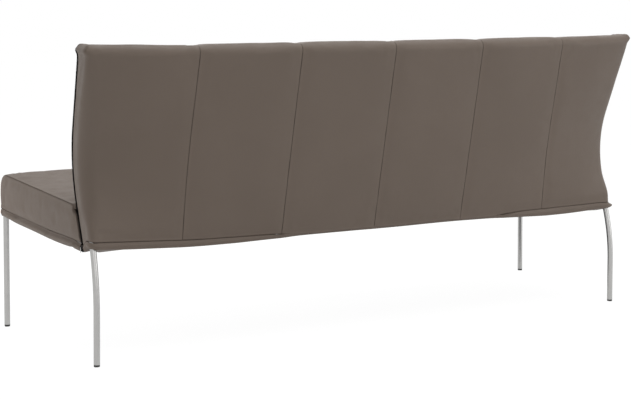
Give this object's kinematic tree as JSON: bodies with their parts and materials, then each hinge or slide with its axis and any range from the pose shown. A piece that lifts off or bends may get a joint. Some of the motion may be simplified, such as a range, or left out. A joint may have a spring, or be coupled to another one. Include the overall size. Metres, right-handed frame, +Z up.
{
  "type": "dining sofa",
  "caption": "Long armless dining sofa: a slim S-shaped panelled leather back over a thin wedge seat, zipped at both ends, on thin splayed steel tube legs.",
  "frame": {"origin": "on the floor, under the middle of the sofa", "axes": "+X along the length towards the sitter's left, -Y towards where the sitter faces, +Z up"},
  "size_m": [2.0348, 0.7124, 0.897],
  "materials": {
    "cover_leather": "smooth taupe leather with a low sheen and fine grain",
    "satin_steel": "satin brushed steel tube",
    "frame_steel": "black powder coat on hidden flat bars and tubes",
    "foam": "pale upholstery foam",
    "webbing": "dark woven elastic webbing",
    "base_cloth": "black lining cloth",
    "glide_plastic": "dark matt plastic",
    "zip_tape": "black zip tape and teeth",
    "zip_metal": "bright plated zip slider and pull"
  },
  "bodies": {
    "sofa": {"back_front_foam": "foam", "back_lower_rail": "frame_steel", "back_rear_foam": "foam", "back_top_rail": "frame_steel", "back_upright_1": "frame_steel", "back_upright_2": "frame_steel", "back_upright_3": "frame_steel", "back_webbing": "webbing", "backrest_panel_1": "cover_leather", "backrest_panel_2": "cover_leather", "backrest_panel_3": "cover_leather", "backrest_panel_4": "cover_leather", "backrest_panel_5": "cover_leather", "backrest_panel_6": "cover_leather", "band_front": "cover_leather", "band_rear": "cover_leather", "band_side_left": "cover_leather", "band_side_right": "cover_leather", "base_cover": "base_cloth", "front_glide_left": "glide_plastic", "front_glide_right": "glide_plastic", "front_leg_left": "satin_steel", "front_leg_right": "satin_steel", "rear_glide_left": "glide_plastic", "rear_glide_right": "glide_plastic", "rear_leg_left": "satin_steel", "rear_leg_right": "satin_steel", "rear_panel_1": "cover_leather", "rear_panel_2": "cover_leather", "rear_panel_3": "cover_leather", "rear_panel_4": "cover_leather", "rear_panel_5": "cover_leather", "rear_panel_6": "cover_leather", "seat_cross_bar_1": "frame_steel", "seat_cross_bar_2": "frame_steel", "seat_cross_bar_3": "frame_steel", "seat_foam": "foam", "seat_front_bar": "frame_steel", "seat_panel_1": "cover_leather", "seat_panel_2": "cover_leather", "seat_panel_3": "cover_leather", "seat_panel_4": "cover_leather", "seat_panel_5": "cover_leather", "seat_panel_6": "cover_leather", "seat_rear_bar": "frame_steel", "seat_side_bar_left": "frame_steel", "seat_side_bar_right": "frame_steel", "seat_side_panel_left": "cover_leather", "seat_side_panel_right": "cover_leather", "seat_webbing": "webbing", "zip_left": "zip_tape", "zip_right": "zip_tape", "zip_slider_left": "zip_metal", "zip_slider_right": "zip_metal"},
    "left_pull": {"zip_pull_left": "zip_metal"},
    "right_pull": {"zip_pull_right": "zip_metal"}
  },
  "joints": [
    {"name": "left_pull_swing", "type": "hinge", "parent": "sofa", "child": "left_pull", "pos_m": [0.93504, 0.18673, 0.32386], "axis": [0, -1, 0], "range_deg": [0, 165]},
    {"name": "right_pull_swing", "type": "hinge", "parent": "sofa", "child": "right_pull", "pos_m": [-0.93504, 0.18673, 0.32386], "axis": [0, 1, 0], "range_deg": [0, 165]}
  ]
}
